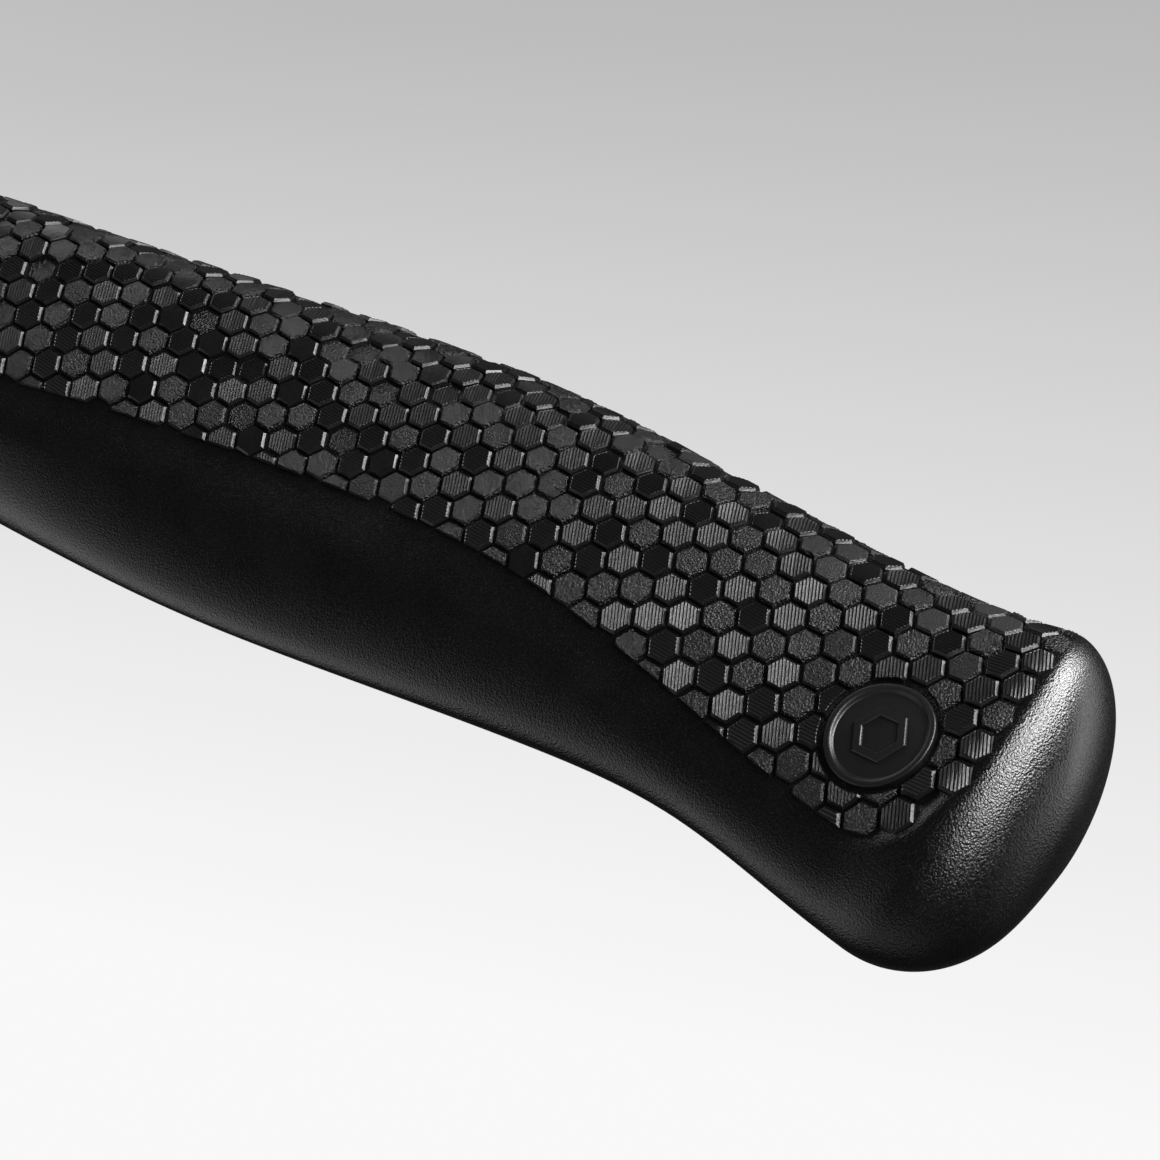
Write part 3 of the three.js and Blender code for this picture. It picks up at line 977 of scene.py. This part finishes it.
def make_blade():
    along = np.linspace(0, 1, BLADE_ROWS) ** TIP_CROWDING
    spine = blade_line(SPINE_LINE, BLADE_REAR_X, along)
    edge = blade_line(EDGE_LINE, HEEL_X, along)
    length = np.linalg.norm(edge - spine, axis=-1)
    chamfer = np.minimum(SPINE_CHAMFER / length, WIDEST_CHAMFER)
    bevel = 1 - np.minimum(BEVEL_WIDTH / length, WIDEST_BEVEL)
    flat = chamfer + (bevel - chamfer) * np.linspace(0, 1, BLADE_COLUMNS)
    shares = np.hstack([np.zeros_like(length), flat, np.ones_like(length)])
    past_start = (shares - HOLLOW_START) / (1 - HOLLOW_START)
    hollow = np.where(past_start > 0, np.sin(math.pi * past_start), 0)
    x, y = np.moveaxis(spine + (edge - spine) * shares[..., None], -1, 0)
    x = x - HEEL_HOLLOW * hollow * np.exp(-HOLLOW_FADE * along)[:, None]
    half = BLADE_HALF + BLADE_TAPER_X * (x - BLADE_REAR_X) + BLADE_TAPER_Y * (y - SPINE_LINE[0][1])
    half[:, 0] = np.maximum(half[:, 0] - SPINE_CHAMFER, THINNEST_SPINE)
    half[:, -1] = EDGE_HALF
    left = np.stack([x, y, half], -1) + GRIP_ORIGIN
    right = np.stack([x, y, -half], -1) + GRIP_ORIGIN
    vertices = np.concatenate([left.reshape(-1, 3), right.reshape(-1, 3)]) * MM
    faces, materials = blade_faces(shares.shape[1])
    obj = make_object("blade_plate", vertices, faces, [coated_steel, ground_steel], materials)
    obj.data.set_sharp_from_angle(angle=BLADE_CREASE)
    return obj


def make_bolster():
    angle = np.linspace(0, 2 * math.pi, BOLSTER_AROUND, endpoint=False)[None]
    rounded = np.array(BOLSTER_ROUND)
    along = np.concatenate([rounded[:, 0], np.linspace(PLAIN_START, 1, PLAIN_ROWS)])[:, None]
    inset = np.zeros_like(along)
    inset[: len(rounded), 0] = rounded[:, 1]
    base_top, base_belly, base_half = section(BOLSTER_START)
    u = BOLSTER_START - BOLSTER_LENGTH * along
    flush = (SPINE_LINE[0][1] - BOLSTER_SINK + u * math.sin(GRIP_TILT)) / math.cos(GRIP_TILT)
    ease = smoothstep(0, 1, along)
    top = base_top + (flush - base_top) * smoothstep(0, BOLSTER_TOP_END, along)
    belly = base_belly - BOLSTER_BELLY_DROP * ease
    half = base_half + (BOLSTER_NOSE_HALF - base_half) * ease**BOLSTER_NOSE_POWER
    v, w = section_loop(top - inset, belly + inset, half - inset, angle)
    vertices = to_row(np.stack([np.repeat(u, BOLSTER_AROUND, 1), v, w], -1)).reshape(-1, 3)
    faces = tube_faces(len(along), BOLSTER_AROUND, towards_butt=False)
    obj = make_object("bolster", vertices, faces, [satin_steel])
    obj.data.set_sharp_from_angle(angle=BOLSTER_CREASE)
    return obj


# ---------------------------------------------------------------- build and attach
body = make_body()
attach(body, "root")
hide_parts("handle_body")

pads = make_pads()
for side_name, side in (("left", 1), ("right", -1)):
    panel = place_pads(pads, "pads_" + side_name, side)
    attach(panel, "root")
    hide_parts("grip_panel_" + side_name)
    badge = make_badge("badge_disc_" + side_name, side)
    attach(badge, "root")
    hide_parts("badge_" + side_name)

blade = make_blade()
bolster = make_bolster()
for piece in (blade, bolster):
    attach(piece, "root")
    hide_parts("blade")

# ---------------------------------------------------------------- floor, light, camera, in metres
OBJECT_CENTRE = (0.14, 0, 0)  # what the studio is set up around
LIGHT_AIM = (0.14, 0, 0.01)

# The floor's brightness is painted light: it glows in place of lamplight, a painted falloff darkens it
# towards the back, and its dark base colour keeps the lamps' shadows on it faint.
FLOOR_COLOR = (0.07, 0.07, 0.07)
FADE_ACROSS = (-0.292, 0.956, 0)  # direction in which the floor's painted glow gets darker, a painted falloff of light
FADE_PLACES = (-0.10, 0.075)
FADE_LEVELS = (1.03, 0.455)
BRIGHTEST = 0.94  # the fade is cut off there
EVEN_LEVEL = 0.76  # painted glow of the floor away from the object
EVEN_RADII = (0.10, 0.42)  # distances between which that takes over
SWEEP_FLAT = 2.2  # radius of the flat floor
SWEEP_CURVE = 0.8  # radius of the curve up to the wall
SWEEP_WALL = 4.0  # height of the wall
SWEEP_STEPS = 12  # in the curve
SWEEP_AROUND = 96
FLOOR_DROP = 0.0001  # below the part's bottom plane, clear of the pads' ribs


def make_painted_light_floor_material():
    """A floor that glows as painted light, less and less towards the back as a painted falloff, and evenly
    away from the object.
    """
    material, nodes, links, shader = new_material("floor", FLOOR_COLOR, 0.9)
    shader.inputs["Specular IOR Level"].default_value = 0.1
    shader.inputs["Emission Color"].default_value = (1, 1, 1, 1)
    place = nodes.new("ShaderNodeVectorMath")
    place.operation = "DOT_PRODUCT"
    place.inputs[1].default_value = FADE_ACROSS
    links.new(object_coordinates(nodes), place.inputs[0])
    fade = nodes.new("ShaderNodeMapRange")
    fade.interpolation_type = "SMOOTHSTEP"
    fade.inputs["From Min"].default_value, fade.inputs["From Max"].default_value = FADE_PLACES
    fade.inputs["To Min"].default_value, fade.inputs["To Max"].default_value = FADE_LEVELS
    links.new(place.outputs["Value"], fade.inputs["Value"])
    limit = nodes.new("ShaderNodeMath")
    limit.operation = "MINIMUM"
    limit.inputs[1].default_value = BRIGHTEST
    links.new(fade.outputs["Result"], limit.inputs[0])
    away = nodes.new("ShaderNodeVectorMath")
    away.operation = "DISTANCE"
    away.inputs[1].default_value = OBJECT_CENTRE
    links.new(object_coordinates(nodes), away.inputs[0])
    even = nodes.new("ShaderNodeMix")
    even.inputs["B"].default_value = EVEN_LEVEL
    links.new(remap(nodes, links, away.outputs["Value"], 0, 1, *EVEN_RADII), even.inputs["Factor"])
    links.new(limit.outputs["Value"], even.inputs["A"])
    links.new(even.outputs["Result"], shader.inputs["Emission Strength"])
    return material


def make_floor():
    """A studio sweep: a flat disc that curves up into a wall all round."""
    bends = [math.pi / 2 * k / SWEEP_STEPS for k in range(SWEEP_STEPS + 1)]
    rim = [(SWEEP_FLAT + SWEEP_CURVE * math.sin(a), SWEEP_CURVE - SWEEP_CURVE * math.cos(a)) for a in bends]
    rim.append((SWEEP_FLAT + SWEEP_CURVE, SWEEP_WALL))
    turns = [2 * math.pi * k / SWEEP_AROUND for k in range(SWEEP_AROUND)]
    corners = []
    for radius, height in rim:
        corners += [(radius * math.cos(a), radius * math.sin(a), height - FLOOR_DROP) for a in turns]
    faces = [tuple(range(SWEEP_AROUND))]
    for r in range(len(rim) - 1):
        for k in range(SWEEP_AROUND):
            a = r * SWEEP_AROUND + k
            b = r * SWEEP_AROUND + (k + 1) % SWEEP_AROUND
            faces.append((a, b, b + SWEEP_AROUND, a + SWEEP_AROUND))
    sweep = make_object("floor", corners, faces, [make_painted_light_floor_material()])
    sweep.visible_glossy = False
    return sweep


floor = make_floor()


def panel_light(name, size, radiance):
    """A rectangular light with the given brightness of its face, which the camera doesn't see."""
    light = bpy.data.lights.new(name, "AREA")
    light.shape = "RECTANGLE"
    light.size, light.size_y = size
    light.energy = 4 * radiance * size[0] * size[1]
    obj = bpy.data.objects.new(name, light)
    bpy.context.scene.collection.objects.link(obj)
    obj.visible_camera = False
    return obj


def softbox(name, azimuth, elevation, distance, size, radiance, spin=0.0):
    """A light seen from the grip at the given angles in degrees, turned about its own axis by spin."""
    azimuth, elevation, spin = (math.radians(a) for a in (azimuth, elevation, spin))
    level = math.cos(elevation)
    away = Vector((math.cos(azimuth) * level, math.sin(azimuth) * level, math.sin(elevation)))
    across = Vector((-math.sin(azimuth), math.cos(azimuth), 0))
    side = across * math.cos(spin) + away.cross(across) * math.sin(spin)
    turn = Matrix((side, away.cross(side), away)).transposed()
    obj = panel_light(name, size, radiance)
    obj.matrix_world = Matrix.Translation(Vector(LIGHT_AIM) + away * distance) @ turn.to_4x4()


def bounce(name, corner, far_corner, radiance):
    """A dim panel that lies on the floor and shines up, seen only in the object's gloss."""
    size = (abs(far_corner[0] - corner[0]), abs(far_corner[1] - corner[1]))
    obj = panel_light(name, size, radiance)
    obj.location = ((corner[0] + far_corner[0]) / 2, (corner[1] + far_corner[1]) / 2, 0.0005)
    obj.rotation_euler = (math.pi, 0, 0)


softbox("key", 41, 35, 0.60, (0.92, 0.17), 28.0, spin=-46)
softbox("fill", -135, 5, 0.9, (0.5, 0.9), 0.5)
softbox("front", -95, 8, 0.8, (1.2, 0.30), 0.45)
softbox("blade_light", 150, 14, 0.62, (0.50, 0.24), 1.6)
bounce("bounce_back", (0.182, 0.02), (0.60, 0.50), 1.8)
bounce("bounce_front", (-0.40, -0.50), (0.115, -0.02), 0.8)

WORLD_LEVEL = 0.035

world = bpy.data.worlds.new("studio")
world.use_nodes = True
background = world.node_tree.nodes["Background"]
background.inputs["Color"].default_value = (1, 1, 1, 1)
background.inputs["Strength"].default_value = WORLD_LEVEL
bpy.context.scene.world = world
bpy.context.scene.view_settings.view_transform = "Standard"

# The camera, in the grip's frame and in millimetres.
CAMERA_AT = (61.92, -65.53, 138.32)
CAMERA_AIM = (-19.93, -1.07, 7.0)
CAMERA_ROLL = math.radians(-15.55)
CAMERA_LENS = 75.83


def make_camera():
    data = bpy.data.cameras.new("camera")
    data.sensor_width = 36
    data.lens = CAMERA_LENS
    data.clip_start = 0.005
    data.clip_end = 20
    camera = bpy.data.objects.new("camera", data)
    bpy.context.scene.collection.objects.link(camera)
    eye = Vector(to_row(CAMERA_AT))
    look = (Vector(to_row(CAMERA_AIM)) - eye).normalized()
    level_right = look.cross(Vector((0, 0, 1))).normalized()
    level_up = level_right.cross(look)
    right = level_right * math.cos(CAMERA_ROLL) + level_up * math.sin(CAMERA_ROLL)
    turn = Matrix((right, right.cross(look), -look)).transposed()
    camera.matrix_world = Matrix.Translation(eye) @ turn.to_4x4()
    return camera


bpy.context.scene.camera = make_camera()
